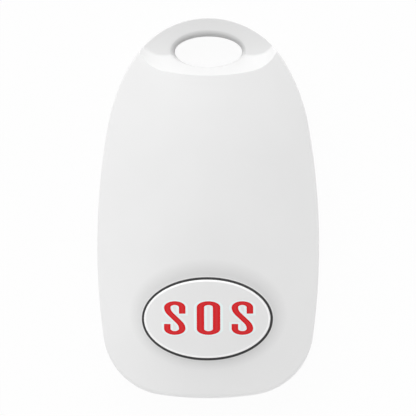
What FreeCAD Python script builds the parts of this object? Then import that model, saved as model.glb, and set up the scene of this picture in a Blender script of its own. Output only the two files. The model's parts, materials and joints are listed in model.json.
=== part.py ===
import FreeCAD, Part
import Sketcher
import math
import os
import re

# A wireless panic button worn on a lanyard. It lies on its flat back: X across, Y from the wide
# end to the lanyard eye, Z out of the front. The origin is under the middle of the case.

sizes = {
    # outline of the case, seen from the front
    "case_length": 60.0,
    "case_width": 35.0,
    "widest_from_bottom": 24.1,
    "bottom_radius": 52.0,
    "corner_radius": 10.6,
    "side_flatness": 1.28,
    "shoulder_radius": 29.8,
    "top_radius": 13.95,
    # crowned front, parting line and walls
    "crown_end_drop": 4.53,
    "crown_from_bottom": 26.0,
    "side_band": 1.65,
    "edge_radius": 0.8,
    "round_share": 0.9,
    "part_height": 4.2,
    "rear_edge_radius": 2.2,
    "wall": 1.6,
    "floor_thickness": 1.6,
    "cavity_corner_radius": 2.2,
    # lip of the rear case and the seal that lies on it
    "lip_width": 0.8,
    "lip_height": 1.0,
    "lip_play": 0.1,
    "seal_thickness": 0.5,
    # loop, ramp and lanyard eye
    "loop_height": 5.6,
    "valley_from_top": 6.0,
    "valley_half_length": 7.0,
    "valley_end_radius": 4.2,
    "valley_radius": 0.45,
    "ramp_angle": 31.9,
    "loop_edge_radius": 0.12,
    "eye_from_top": 5.33,
    "eye_length": 10.7,
    "eye_width": 4.9,
    "eye_edge_radius": 1.0,
    "eye_wall": 2.6,
    # alarm button in its collar
    "button_from_bottom": 12.54,
    "opening_length": 20.65,
    "opening_width": 13.1,
    "button_clearance": 0.37,
    "button_rise": 1.4,
    "button_edge_radius": 0.28,
    "button_skirt": 1.3,
    "button_top": 1.4,
    "button_post_width": 3.2,
    "button_post_height": 1.45,
    "button_rib": 0.8,
    "collar_wall": 1.2,
    "flange_thickness": 0.7,
    "flange_overhang": 0.7,
    "flange_end_overhang": 0.2,
    "flange_play": 0.1,
    "flange_above_board": 0.6,
    "button_seal_recess": 0.6,
    "button_seal_play": 0.04,
    "touch_play": 0.05,
    # circuit board
    "board_edge": 4.6,
    "board_top_gap": 1.0,
    "board_thickness": 0.8,
    "board_play": 0.4,
    # screws and bosses
    "boss_width": 4.4,
    "screw_core": 1.6,
    "screw_hole": 2.2,
    "screw_head": 3.6,
    "screw_head_height": 1.3,
    "screw_head_sink": 1.6,
    "screw_tip_gap": 0.3,
    "case_screw_length": 4.8,
    "board_screw_length": 2.8,
    "screw_slot": 0.6,
    "screw_slot_depth": 0.7,
    "low_screw_from_opening": 0.9,
    "low_screw_from_bottom": 7.2,
    "high_screw_inset": 3.6,
    "high_screw_from_cavity": 3.8,
    "board_screw_from_side": 6.9,
    "board_screw_from_button": 6.8,
    "board_post_width": 3.8,
    "rest_post_width": 1.6,
    "rest_post_from_cell": 1.8,
    # coin cell and its contacts
    "cell_from_coil": 1.4,
    "cell_width": 20.0,
    "cell_thickness": 3.2,
    "cell_cap_width": 17.6,
    "cell_cap_height": 0.25,
    "cell_play": 0.3,
    "clip_floor_gap": 0.45,
    "clip_thickness": 0.3,
    "clip_width": 9.0,
    "clip_foot": 1.6,
    "pad_width": 8.0,
    "pad_thickness": 0.15,
    # push switch under the button
    "switch_width": 6.0,
    "switch_base_height": 3.2,
    "switch_cover_thickness": 0.3,
    "switch_well_width": 4.9,
    "switch_well_floor": 1.0,
    "plunger_width": 3.4,
    "plunger_flange_width": 4.4,
    "plunger_flange_thickness": 0.6,
    "plunger_height": 4.3,
    "plunger_play": 0.05,
    "dome_width": 4.2,
    "dome_rise": 0.7,
    "dome_thickness": 0.1,
    "lead_thickness": 0.25,
    "lead_width": 0.7,
    "lead_reach": 1.3,
    "lead_spacing": 4.5,
    # parts soldered on the board
    "chip_from_board_top": 12.6,
    "chip_length": 5.0,
    "chip_width": 4.0,
    "chip_height": 1.5,
    "chip_lead_pitch": 1.27,
    "chip_lead_width": 0.4,
    "transistor_x": 4.5,
    "transistor_from_board_top": 6.4,
    "transistor_length": 2.9,
    "transistor_width": 1.3,
    "transistor_height": 1.0,
    "resonator_x": -3.2,
    "resonator_from_board_top": 5.6,
    "resonator_length": 5.0,
    "resonator_width": 3.5,
    "resonator_height": 1.4,
    "resonator_rim": 0.4,
    "light_from_button": 9.9,
    "light_length": 2.0,
    "light_width": 1.25,
    "light_height": 0.8,
    "passive_length": 1.6,
    "passive_width": 0.8,
    "passive_column": 5.6,
    "passive_from_chip": 8.0,
    "passive_pitch": 2.2,
    "capacitor_height": 0.8,
    "resistor_height": 0.45,
    # antenna coil
    "coil_width": 3.0,
    "coil_wire": 0.5,
    "coil_length": 11.0,
    "coil_pitch": 1.1,
    "coil_below_board": 0.15,
    "coil_from_board_top": 2.2,
}

doc = FreeCAD.newDocument("panic_button")
sheet = doc.addObject("Spreadsheet::Sheet", "Sizes")
for row, (alias, number) in enumerate(sizes.items(), start=1):
    sheet.set(f"A{row}", alias)
    sheet.set(f"B{row}", str(number))
    sheet.setAlias(f"B{row}", alias)
doc.recompute()

up = FreeCAD.Vector(0, 0, 1)
crown_sweep = 60.0
scoop_turn = 60.0
tiny = 1e-3

# places that several pieces share, as expressions of the sizes
bottom_end = "(-case_length / 2)"
top_end = "(case_length / 2)"
button_y = "(button_from_bottom - case_length / 2)"
eye_y = "(case_length / 2 - eye_from_top)"
valley_y = "(case_length / 2 - valley_from_top)"
cavity_top = "(case_length / 2 - eye_from_top - eye_width / 2 - eye_wall)"
crown_y = "(crown_from_bottom - case_length / 2)"

# the board stands on the cell in its clip, and the switch on the board
board_bottom = "(floor_thickness + clip_floor_gap + clip_thickness + cell_thickness + pad_thickness)"
board_top = f"({board_bottom} + board_thickness)"
switch_top = f"({board_top} + plunger_height)"
flange_bottom = f"({board_top} + flange_above_board)"
collar_bottom = f"({flange_bottom} + flange_thickness + flange_play)"

# the front is as high as the button over the switch needs, and falls off from its crown to its sides
crown_along = "(((case_length - crown_from_bottom)^2 + crown_end_drop^2) / (2 * crown_end_drop))"
button_drop = f"({crown_along} - sqrt({crown_along}^2 - (crown_from_bottom - button_from_bottom)^2))"
button_roof = f"({switch_top} + touch_play + button_post_height)"
case_top = f"({button_roof} + button_top - button_rise + {button_drop})"
side_drop = f"({case_top} - part_height - side_band)"
crown_across = f"((case_width^2 / 4 + {side_drop}^2) / (2 * {side_drop}))"
side_lean = f"(({crown_across} + case_width / 2) / ({crown_across} - {side_drop}))"
edge_round = f"(min(edge_radius; round_share * side_band * {side_lean}))"
eye_round = "(min(eye_edge_radius; round_share * (loop_height - part_height)))"

# the long side is a little flatter than the one arc that would join the widest place to the top
top_reach = "(case_length - top_radius - widest_from_bottom)"
single_side = f"(({top_reach}^2 + case_width^2 / 4 - top_radius^2) / (case_width - 2 * top_radius))"
outline_radius = {
    "bottom": "bottom_radius",
    "corner": "corner_radius",
    "side": f"(side_flatness * {single_side})",
    "shoulder": "shoulder_radius",
    "top": "top_radius",
}

# what stands on the board or under it is placed from the board's narrow end
board_end = f"({cavity_top} - board_top_gap)"
coil_y = f"({board_end} - coil_from_board_top)"
cell_y = f"({coil_y} - coil_width / 2 - cell_from_coil - cell_width / 2)"
chip_y = f"({board_end} - chip_from_board_top)"
low_screw = ("(opening_length / 2 + low_screw_from_opening)", "(low_screw_from_bottom - case_length / 2)")
high_screw = ("(top_radius - high_screw_inset)", f"({cavity_top} - high_screw_from_cavity)")
board_screw = ("(case_width / 2 - board_screw_from_side)", f"({button_y} + board_screw_from_button)")
post_reach = "((cell_width / 2 + rest_post_from_cell) * sqrt(2) / 2)"
rest_post = (post_reach, f"({cell_y} + {post_reach})")


def linked(text):
    return re.sub(r"[a-z][a-z_]*", lambda word: "Sizes." * (word.group() in sizes) + word.group(), text)


def value(text):
    return float(sheet.evalExpression(linked(text)))


def bind(sketch, kind, places, text):
    index = sketch.addConstraint(Sketcher.Constraint(kind, *places, value(text)))
    sketch.setExpression(f"Constraints[{index}]", linked(text))


def bind_point(sketch, item, end, x, y):
    bind(sketch, "DistanceX", (-1, 1, item, end), x)
    bind(sketch, "DistanceY", (-1, 1, item, end), y)


def origin_plane(body, role):
    return next(item for item in body.Origin.OriginFeatures if item.Role == role)


def new_sketch(body, name, height="0", role="XY_Plane"):
    sketch = body.newObject("Sketcher::SketchObject", name)
    sketch.AttachmentSupport = [(origin_plane(body, role), "")]
    sketch.MapMode = "FlatFace"
    sketch.setExpression("AttachmentOffset.Base.z", linked(height))
    return sketch


def draw_circle(sketch, width, x="0", y="0"):
    circle = Part.Circle(FreeCAD.Vector(value(x), value(y), 0), up, value(width) / 2)
    item = sketch.addGeometry(circle)
    bind(sketch, "Diameter", (item,), width)
    bind_point(sketch, item, 3, x, y)


def draw_ellipse(sketch, length, width, y):
    centre = FreeCAD.Vector(0, value(y), 0)
    item = sketch.addGeometry(Part.Ellipse(centre, value(length) / 2, value(width) / 2))
    sketch.exposeInternalGeometry(item)
    sketch.addConstraint(Sketcher.Constraint("Horizontal", item + 1))
    bind(sketch, "Distance", (item + 1,), length)
    bind(sketch, "Distance", (item + 2,), width)
    bind_point(sketch, item, 3, "0", y)


def draw_polygon(sketch, points):
    corners = [FreeCAD.Vector(value(x), value(y), 0) for x, y in points]
    first = sketch.GeometryCount
    count = len(points)
    for index in range(count):
        sketch.addGeometry(Part.LineSegment(corners[index], corners[(index + 1) % count]))
    for index in range(count):
        following = first + (index + 1) % count
        sketch.addConstraint(Sketcher.Constraint("Coincident", first + index, 2, following, 1))
        bind_point(sketch, first + index, 1, *points[index])


def draw_rectangle(sketch, left, right, low, high):
    draw_polygon(sketch, [(left, low), (right, low), (right, high), (left, high)])


def meeting_point(first, first_distance, second, second_distance, side):
    between = second - first
    length = between.Length
    along = (first_distance**2 - second_distance**2 + length**2) / (2 * length)
    across = math.sqrt(first_distance**2 - along**2)
    direction = between / length
    normal = FreeCAD.Vector(-direction.y, direction.x, 0)
    return first + direction * along + normal * across * side


def draw_outline(sketch, inset):
    # egg-shaped outline of eight tangent arcs, moved inwards by the inset about the same centres
    radius = {part: value(text) for part, text in outline_radius.items()}
    side_x = f"case_width / 2 - {outline_radius['side']}"
    side_y = "widest_from_bottom - case_length / 2"
    bottom = FreeCAD.Vector(0, value(f"{bottom_end} + bottom_radius"), 0)
    top = FreeCAD.Vector(0, value(f"{top_end} - top_radius"), 0)
    side = FreeCAD.Vector(value(side_x), value(side_y), 0)
    corner = meeting_point(
        bottom, radius["bottom"] - radius["corner"], side, radius["side"] - radius["corner"], 1
    )
    shoulder = meeting_point(
        side, radius["side"] - radius["shoulder"], top, radius["shoulder"] - radius["top"], -1
    )
    centres = {"bottom": bottom, "corner": corner, "side": side, "shoulder": shoulder, "top": top}
    right = [("bottom", "corner"), ("corner", "side"), ("side", "shoulder"), ("shoulder", "top")]
    inset_value = value(inset)
    joins = []
    for wide, narrow in right:
        if radius[wide] < radius[narrow]:
            wide, narrow = narrow, wide
        direction = (centres[narrow] - centres[wide]).normalize()
        joins.append(centres[wide] + direction * (radius[wide] - inset_value))

    def mirrored(point):
        return FreeCAD.Vector(-point.x, point.y, 0)

    loop = [mirrored(joins[0])] + joins + [mirrored(point) for point in joins[:0:-1]]
    order = ["bottom", "corner", "side", "shoulder", "top", "shoulder", "side", "corner"]
    first = sketch.GeometryCount
    for index, part in enumerate(order):
        centre = centres[part] if index < 5 else mirrored(centres[part])
        start = loop[index] - centre
        end = loop[(index + 1) % 8] - centre
        start_angle = math.atan2(start.y, start.x)
        end_angle = math.atan2(end.y, end.x)
        circle = Part.Circle(centre, up, radius[part] - inset_value)
        sketch.addGeometry(Part.ArcOfCircle(circle, start_angle, end_angle))
    for index in range(8):
        following = first + (index + 1) % 8
        sketch.addConstraint(Sketcher.Constraint("Tangent", first + index, 2, following, 1))
    for index in range(5):
        bind(sketch, "Radius", (first + index,), f"{outline_radius[order[index]]} - ({inset})")
    for index in (1, 2, 3):
        sketch.addConstraint(Sketcher.Constraint("Equal", first + index, first + 8 - index))
    bind_point(sketch, first, 3, "0", f"{bottom_end} + bottom_radius")
    bind_point(sketch, first + 4, 3, "0", f"{top_end} - top_radius")
    bind_point(sketch, first + 2, 3, side_x, side_y)
    bind_point(sketch, first + 6, 3, f"-({side_x})", side_y)


def pad(body, sketch, length, taper="0"):
    feature = body.newObject("PartDesign::Pad", sketch.Name + "_pad")
    feature.Profile = sketch
    feature.setExpression("Length", linked(length))
    feature.setExpression("TaperAngle", linked(taper))
    body.Tip = feature
    doc.recompute()
    return feature


def pocket(body, sketch, length, upward=False):
    # a pocket is cut downwards from its sketch unless it is asked to go upwards
    before = body.Shape.Volume
    feature = body.newObject("PartDesign::Pocket", sketch.Name + "_pocket")
    feature.Profile = sketch
    feature.Reversed = upward
    feature.setExpression("Length", linked(length))
    body.Tip = feature
    doc.recompute()
    if body.Shape.Volume >= before:
        raise RuntimeError(f"{feature.Name} cuts nothing")
    return feature


def cut_away(body, name, tool):
    feature = body.newObject("PartDesign::Boolean", name)
    feature.Type = "Cut"
    feature.addObjects([tool])
    body.Tip = feature
    doc.recompute()
    return feature


def fillet(body, name, edges, radius):
    base = body.Tip
    feature = body.newObject("PartDesign::Fillet", name)
    feature.Base = (base, edges)
    feature.setExpression("Radius", linked(radius))
    body.Tip = feature
    doc.recompute()
    return feature


def edge_names(shape, wanted):
    return [f"Edge{number}" for number, edge in enumerate(shape.Edges, start=1) if wanted(edge)]


def crown(body, name, rise):
    # the front is a barrel-shaped surface: a wide arc across, turned about an axis far below
    sketch = new_sketch(body, name, f"-{crown_y}", "XZ_Plane")
    sketch.setExpression("AttachmentOffset.Base.y", linked(f"{case_top} - {crown_along}"))
    across = f"({crown_across} + ({rise}))"
    middle = f"({crown_along} - {crown_across})"
    reach = "(case_width / 2 + wall)"
    high = f"({crown_along} + {case_top} / 2)"
    radius = value(across)
    centre = FreeCAD.Vector(0, value(middle), 0)
    half = math.asin(value(reach) / radius)
    circle = Part.Circle(centre, up, radius)
    arc = sketch.addGeometry(Part.ArcOfCircle(circle, math.pi / 2 - half, math.pi / 2 + half))
    ends = [centre + FreeCAD.Vector(side * value(reach), radius * math.cos(half), 0) for side in (1, -1)]
    upper = [FreeCAD.Vector(end.x, value(high), 0) for end in ends]
    sketch.addGeometry(Part.LineSegment(ends[1], upper[1]))
    sketch.addGeometry(Part.LineSegment(upper[1], upper[0]))
    sketch.addGeometry(Part.LineSegment(upper[0], ends[0]))
    for item in range(4):
        sketch.addConstraint(Sketcher.Constraint("Coincident", arc + item, 2, arc + (item + 1) % 4, 1))
    bind_point(sketch, arc, 3, "0", middle)
    bind(sketch, "Radius", (arc,), across)
    bind(sketch, "DistanceX", (-1, 1, arc, 1), reach)
    bind(sketch, "DistanceX", (-1, 1, arc, 2), f"-{reach}")
    bind_point(sketch, arc + 2, 1, f"-{reach}", high)
    bind_point(sketch, arc + 2, 2, reach, high)
    before = body.Shape.Volume
    feature = body.newObject("PartDesign::Groove", name + "_groove")
    feature.Profile = sketch
    feature.ReferenceAxis = (sketch, ["H_Axis"])
    feature.Angle = crown_sweep
    feature.Midplane = True
    body.Tip = feature
    doc.recompute()
    if body.Shape.Volume >= before:
        raise RuntimeError(f"{feature.Name} cuts nothing")
    return feature


def crown_edges(shape):
    crowned = [face for face in shape.Faces if face.Surface.TypeId == "Part::GeomToroid"]
    rims = [edge for face in crowned for edge in face.Edges]
    return edge_names(shape, lambda edge: any(edge.isSame(rim) for rim in rims))


def draw_scoop(sketch):
    # straight valley in the middle that turns up at both ends and runs out past the case
    turn = math.radians(scoop_turn)
    half = value("valley_half_length")
    radius = value("valley_end_radius")
    low = value(valley_y)
    far = value(f"{top_end} + case_width / 4")
    right = FreeCAD.Vector(half, low, 0)
    centre = FreeCAD.Vector(half, low + radius, 0)
    bend = centre + FreeCAD.Vector(radius * math.sin(turn), -radius * math.cos(turn), 0)
    end = FreeCAD.Vector(bend.x + (far - bend.y) / math.tan(turn), far, 0)

    def mirrored(point):
        return FreeCAD.Vector(-point.x, point.y, 0)

    first = sketch.GeometryCount
    sketch.addGeometry(Part.LineSegment(mirrored(right), right))
    circle = Part.Circle(centre, up, radius)
    sketch.addGeometry(Part.ArcOfCircle(circle, -math.pi / 2, turn - math.pi / 2))
    sketch.addGeometry(Part.LineSegment(bend, end))
    sketch.addGeometry(Part.LineSegment(end, mirrored(end)))
    sketch.addGeometry(Part.LineSegment(mirrored(end), mirrored(bend)))
    circle = Part.Circle(mirrored(centre), up, radius)
    sketch.addGeometry(Part.ArcOfCircle(circle, -math.pi / 2 - turn, -math.pi / 2))
    for index, kind in enumerate(("Tangent", "Tangent", "Coincident", "Coincident", "Tangent", "Tangent")):
        following = first + (index + 1) % 6
        sketch.addConstraint(Sketcher.Constraint(kind, first + index, 2, following, 1))
    bind_point(sketch, first, 1, "-valley_half_length", valley_y)
    bind_point(sketch, first, 2, "valley_half_length", valley_y)
    bind(sketch, "Radius", (first + 1,), "valley_end_radius")
    sketch.addConstraint(Sketcher.Constraint("Equal", first + 1, first + 5))
    bind(sketch, "DistanceY", (-1, 1, first + 2, 2), f"{top_end} + case_width / 4")
    sketch.addConstraint(Sketcher.Constraint("Angle", first + 2, turn))
    sketch.addConstraint(Sketcher.Constraint("Symmetric", first + 2, 2, first + 4, 1, -2))


def new_body(name):
    body = doc.addObject("PartDesign::Body", name)
    body.Label = name
    return body


def draw_cross(sketch, length, width, thickness, y="0"):
    long, wide, thick = f"({length}) / 2", f"({width}) / 2", f"({thickness}) / 2"
    draw_polygon(sketch, [
        (f"{long}", f"{y} - {thick}"), (f"{long}", f"{y} + {thick}"),
        (f"{thick}", f"{y} + {thick}"), (f"{thick}", f"{y} + {wide}"),
        (f"-{thick}", f"{y} + {wide}"), (f"-{thick}", f"{y} + {thick}"),
        (f"-{long}", f"{y} + {thick}"), (f"-{long}", f"{y} - {thick}"),
        (f"-{thick}", f"{y} - {thick}"), (f"-{thick}", f"{y} - {wide}"),
        (f"{thick}", f"{y} - {wide}"), (f"{thick}", f"{y} - {thick}"),
    ])


def draw_lead(sketch, side, start, level, reach):
    # bent lead from the side of a block at a level down to a foot on the board
    out = f"{start} + {reach} / 3"
    profile = [
        (start, level), (f"{out} + lead_thickness", level),
        (f"{out} + lead_thickness", "lead_thickness"), (f"{start} + {reach}", "lead_thickness"),
        (f"{start} + {reach}", "0"), (out, "0"),
        (out, f"{level} - lead_thickness"), (start, f"{level} - lead_thickness"),
    ]
    draw_polygon(sketch, [(f"{side} * ({x})", y) for x, y in profile])


def draw_dome(sketch):
    # half section of the dome: two arcs about a centre below it, joined at the foot and the top
    rise = value("dome_rise")
    outer = (value("dome_width") ** 2 / 4 + rise**2) / (2 * rise)
    inner = outer - value("dome_thickness")
    low = rise - outer
    centre = FreeCAD.Vector(0, low, 0)
    arcs = []
    for radius in (outer, inner):
        circle = Part.Circle(centre, up, radius)
        start = math.asin(-low / radius)
        arcs.append(sketch.addGeometry(Part.ArcOfCircle(circle, start, math.pi / 2)))
    feet = [FreeCAD.Vector(math.sqrt(radius**2 - low**2), 0, 0) for radius in (outer, inner)]
    tops = [FreeCAD.Vector(0, low + radius, 0) for radius in (outer, inner)]
    foot = sketch.addGeometry(Part.LineSegment(feet[1], feet[0]))
    top = sketch.addGeometry(Part.LineSegment(tops[0], tops[1]))
    for first, first_end, second, second_end in (
        (arcs[0], 1, foot, 2), (arcs[1], 1, foot, 1), (arcs[0], 2, top, 1), (arcs[1], 2, top, 2),
        (arcs[0], 3, arcs[1], 3),
    ):
        sketch.addConstraint(Sketcher.Constraint("Coincident", first, first_end, second, second_end))
    bind(sketch, "DistanceX", (-1, 1, foot, 2), "dome_width / 2")
    bind(sketch, "DistanceY", (-1, 1, foot, 2), "0")
    bind(sketch, "DistanceX", (-1, 1, top, 1), "0")
    bind(sketch, "DistanceY", (-1, 1, top, 1), "dome_rise")
    bind(sketch, "DistanceY", (top, 2, top, 1), "dome_thickness")
    sketch.addConstraint(Sketcher.Constraint("PointOnObject", arcs[0], 3, -2))
    sketch.addConstraint(Sketcher.Constraint("PointOnObject", foot, 1, -1))
    sketch.addConstraint(Sketcher.Constraint("PointOnObject", top, 2, -2))


def revolve(body, sketch):
    feature = body.newObject("PartDesign::Revolution", sketch.Name + "_turned")
    feature.Profile = sketch
    feature.ReferenceAxis = (sketch, ["V_Axis"])
    feature.Angle = 360
    body.Tip = feature
    doc.recompute()
    return feature


def screw(name, x, y, seat, length):
    # pan head screw with its head down and the underside of the head at the seat
    body = new_body(name)
    profile = new_sketch(body, name + "_profile", "0", "XZ_Plane")
    draw_polygon(profile, [
        ("0", "-screw_head_height"),
        ("screw_head / 3", "-screw_head_height"),
        ("screw_head / 2", "-screw_head_height / 2"),
        ("screw_head / 2", "0"),
        ("screw_core / 2", "0"),
        ("screw_core / 2", f"{length} - screw_core / 2"),
        ("screw_core / 8", length),
        ("0", length),
    ])
    revolve(body, profile)
    recess = new_sketch(body, name + "_recess", "-screw_head_height")
    draw_cross(recess, "screw_head / 2", "screw_head / 2", "screw_slot")
    pocket(body, recess, "screw_slot_depth", upward=True)
    place(body, x, y, seat)
    return body


def screws(name, places, seat, length):
    pairs = [(side, x, y) for x, y in places for side in ("", "-")]
    bodies = [
        screw(f"{name}_{number}", f"{side}{x}", y, seat, length)
        for number, (side, x, y) in enumerate(pairs, start=1)
    ]
    return group(name, bodies)


def flat_face(shape, height):
    level = value(height)
    boxes = [(face, face.BoundBox) for face in shape.Faces if face.Surface.TypeId == "Part::GeomPlane"]
    return next(face for face, box in boxes if abs(box.ZMax - level) + abs(box.ZMin - level) < tiny)


def edges_of_faces(shape, faces, wanted=lambda edge: True):
    beside = [edge for face in faces for edge in face.Edges]
    return edge_names(shape, lambda edge: wanted(edge) and any(edge.isSame(other) for other in beside))


def eye_walls(shape):
    low = value(f"{eye_y} - eye_width / 2") - tiny
    high = value(f"{eye_y} + eye_width / 2") + tiny
    found = []
    for face in shape.Faces:
        box = face.BoundBox
        inside = box.XLength < value("eye_length") + tiny and box.YMin > low and box.YMax < high
        if inside and box.ZLength > value("part_height") / 4 and face.Surface.TypeId != "Part::GeomPlane":
            found.append(face)
    return found


def slab(name, inset, low, high, end, corner_radius):
    # flat block of the inset outline that stops in a straight end with rounded corners
    body = new_body(name)
    outline = new_sketch(body, name + "_outline", low)
    draw_outline(outline, inset)
    pad(body, outline, f"{high} - {low}")
    trim = new_sketch(body, name + "_trim", high)
    draw_rectangle(trim, "-case_width", "case_width", end, "case_length")
    pocket(body, trim, f"{high} - {low} + wall")
    level = value(end)
    height = value(f"{high} - {low}")
    corners = edge_names(
        body.Shape,
        lambda edge: edge.BoundBox.ZLength > height / 2 and abs(edge.CenterOfMass.y - level) < tiny,
    )
    fillet(body, name + "_corners", corners, corner_radius)
    return body


def combine(kind, name, base, tool):
    result = doc.addObject(kind, name)
    result.Label = name
    result.Base = base
    result.Tool = tool
    doc.recompute()
    return result


def group(name, members):
    result = doc.addObject("Part::Compound", name)
    result.Label = name
    result.Links = members
    doc.recompute()
    return result


def place(item, x, y, z):
    for axis, text in (("x", x), ("y", y), ("z", z)):
        item.setExpression(f"Placement.Base.{axis}", linked(text))
    doc.recompute()


def draw_pairs(sketch, width, places):
    for x, y in places:
        draw_circle(sketch, width, x, y)
        draw_circle(sketch, width, f"-{x}", y)


def soldered_block(name, x, y, length, width, height):
    body = new_body(name)
    block = new_sketch(body, name + "_block")
    draw_rectangle(block, f"-{length} / 2", f"{length} / 2", f"-{width} / 2", f"{width} / 2")
    pad(body, block, height)
    place(body, x, y, board_top)
    return body


def passives(name, height, places):
    bodies = [
        soldered_block(f"{name}_{number}", x, y, "passive_length", "passive_width", height)
        for number, (x, y) in enumerate(places, start=1)
    ]
    return group(name, bodies)


# front case: egg-shaped block with a crowned face and a rounded edge
front_form = new_body("front_form")
outline = new_sketch(front_form, "front_outline", "part_height")
draw_outline(outline, "0")
pad(front_form, outline, f"{case_top} + wall - part_height")
crown(front_form, "front_crown", "0")
fillet(front_form, "front_edge", crown_edges(front_form.Shape), edge_round)

# the narrow end steps down over a ramp to a flat loop, cut by a block with its lower edge rounded
loop_step = new_body("loop_step")
scoop = new_sketch(loop_step, "loop_scoop", "loop_height")
draw_scoop(scoop)
pad(loop_step, scoop, f"{case_top} + wall - loop_height", taper="ramp_angle")
case_end = value(top_end)
step_floor = flat_face(loop_step.Shape, "loop_height")
valley = edges_of_faces(loop_step.Shape, [step_floor], lambda edge: edge.CenterOfMass.y < case_end)
fillet(loop_step, "valley_round", valley, "valley_radius")
cut_away(front_form, "front_step", loop_step)
valley_reach = value(f"{valley_y} + valley_end_radius / 2")
loop_face = flat_face(front_form.Shape, "loop_height")
rim = edges_of_faces(front_form.Shape, [loop_face], lambda edge: edge.CenterOfMass.y > valley_reach)
fillet(front_form, "loop_edge", rim, "loop_edge_radius")

# the eye goes through the loop and part of the ramp, with rounded edges
eye = new_sketch(front_form, "front_eye", case_top)
draw_ellipse(eye, "eye_length", "eye_width", eye_y)
pocket(front_form, eye, case_top)
above = value("part_height") + tiny
eye_edges = edges_of_faces(
    front_form.Shape, eye_walls(front_form.Shape), lambda edge: edge.BoundBox.ZMin > above
)
fillet(front_form, "front_eye_edge", eye_edges, eye_round)

opening = new_sketch(front_form, "button_opening", case_top)
draw_ellipse(opening, "opening_length", "opening_width", button_y)
pocket(front_form, opening, case_top)
pilots = new_sketch(front_form, "case_screw_pilots", "part_height")
draw_pairs(pilots, "screw_core", [low_screw, high_screw])
pilot_depth = "screw_head_sink + case_screw_length + screw_tip_gap - part_height"
pocket(front_form, pilots, pilot_depth, upward=True)
pilots = new_sketch(front_form, "board_screw_pilots", board_top)
draw_pairs(pilots, "screw_core", [board_screw])
pocket(front_form, pilots, "board_screw_length + screw_tip_gap - board_thickness", upward=True)

# space inside the front case, with the collar, bosses and posts left standing
front_core = slab(
    "front_core", "wall", "(part_height - wall)", case_top, cavity_top, "cavity_corner_radius"
)
crown(front_core, "front_core_crown", "-wall")
core_round = f"max(min({edge_round} - wall; cavity_corner_radius); wall / 4)"
fillet(front_core, "front_core_edge", crown_edges(front_core.Shape), core_round)
collar = new_sketch(front_core, "collar", collar_bottom)
draw_ellipse(collar, "opening_length + 2 * collar_wall", "opening_width + 2 * collar_wall", button_y)
pocket(front_core, collar, case_top, upward=True)
bosses = new_sketch(front_core, "case_screw_bosses", "(part_height - wall)")
draw_pairs(bosses, "boss_width", [low_screw, high_screw])
pocket(front_core, bosses, case_top, upward=True)
posts = new_sketch(front_core, "board_posts", board_top)
draw_pairs(posts, "board_post_width", [board_screw])
draw_pairs(posts, "rest_post_width", [rest_post])
pocket(front_core, posts, case_top, upward=True)
flange_length = "(opening_length + 2 * flange_end_overhang)"
flange_width = "(opening_width + 2 * flange_overhang)"
flange_room = new_sketch(front_core, "flange_room", "part_height")
draw_ellipse(
    flange_room, f"{flange_length} + 2 * flange_play", f"{flange_width} + 2 * flange_play", button_y
)
pad(front_core, flange_room, f"{collar_bottom} - part_height")
front_hollow = combine("Part::Cut", "front_hollow", front_form, front_core)

# rebate that takes the lip of the rear case and the seal
seal_low = "(part_height + lip_height)"
seal_high = "(part_height + lip_height + seal_thickness)"
rebate_outer = slab(
    "rebate_outer", "wall - lip_width - lip_play", "(part_height - wall)", seal_high,
    f"({cavity_top} + lip_width + lip_play)", "cavity_corner_radius + lip_width + lip_play",
)
rebate_inner = slab(
    "rebate_inner", "wall + lip_play", "(part_height - 2 * wall)", f"({seal_high} + wall)",
    f"({cavity_top} - lip_play)", "cavity_corner_radius - lip_play",
)
rebate = combine("Part::Cut", "rebate", rebate_outer, rebate_inner)
front_shell = combine("Part::Cut", "front_shell", front_hollow, rebate)

# rear case: flat back with a rounded edge, counterbored for the case screws
rear_form = new_body("rear_form")
outline = new_sketch(rear_form, "rear_outline")
draw_outline(outline, "0")
pad(rear_form, outline, "part_height")
back = flat_face(rear_form.Shape, "0")
fillet(rear_form, "rear_edge", edges_of_faces(rear_form.Shape, [back]), "rear_edge_radius")
eye = new_sketch(rear_form, "rear_eye", "part_height")
draw_ellipse(eye, "eye_length", "eye_width", eye_y)
pocket(rear_form, eye, "2 * part_height")
eye_edges = edges_of_faces(
    rear_form.Shape, eye_walls(rear_form.Shape), lambda edge: edge.BoundBox.ZMax < tiny
)
fillet(rear_form, "rear_eye_edge", eye_edges, "eye_edge_radius / 2")
counterbores = new_sketch(rear_form, "counterbores")
draw_pairs(counterbores, "screw_head + 4 * lip_play", [low_screw, high_screw])
pocket(rear_form, counterbores, "screw_head_sink", upward=True)
screw_holes = new_sketch(rear_form, "case_screw_holes")
draw_pairs(screw_holes, "screw_hole", [low_screw, high_screw])
pocket(rear_form, screw_holes, "2 * part_height", upward=True)

# lip, hollow, bosses and rest posts of the rear case
lip_block = slab(
    "lip_block", "wall - lip_width", "part_height", seal_low,
    f"({cavity_top} + lip_width)", "cavity_corner_radius + lip_width",
)
rear_block = combine("Part::Fuse", "rear_block", rear_form, lip_block)
rear_core = slab(
    "rear_core", "wall", "floor_thickness", f"({seal_low} + wall)", cavity_top, "cavity_corner_radius"
)
bosses = new_sketch(rear_core, "rear_bosses", "floor_thickness")
draw_pairs(bosses, "boss_width", [low_screw, high_screw])
pocket(rear_core, bosses, "part_height - floor_thickness", upward=True)
rear_hollow = combine("Part::Cut", "rear_hollow", rear_block, rear_core)
rear_posts = new_body("rear_posts")
rear_posts.AllowCompound = True
posts = new_sketch(rear_posts, "rest_posts", "floor_thickness / 2")
draw_pairs(posts, "rest_post_width", [rest_post])
pad(rear_posts, posts, f"{board_bottom} - floor_thickness / 2")
rear_shell = combine("Part::Fuse", "rear_shell", rear_hollow, rear_posts)

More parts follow.
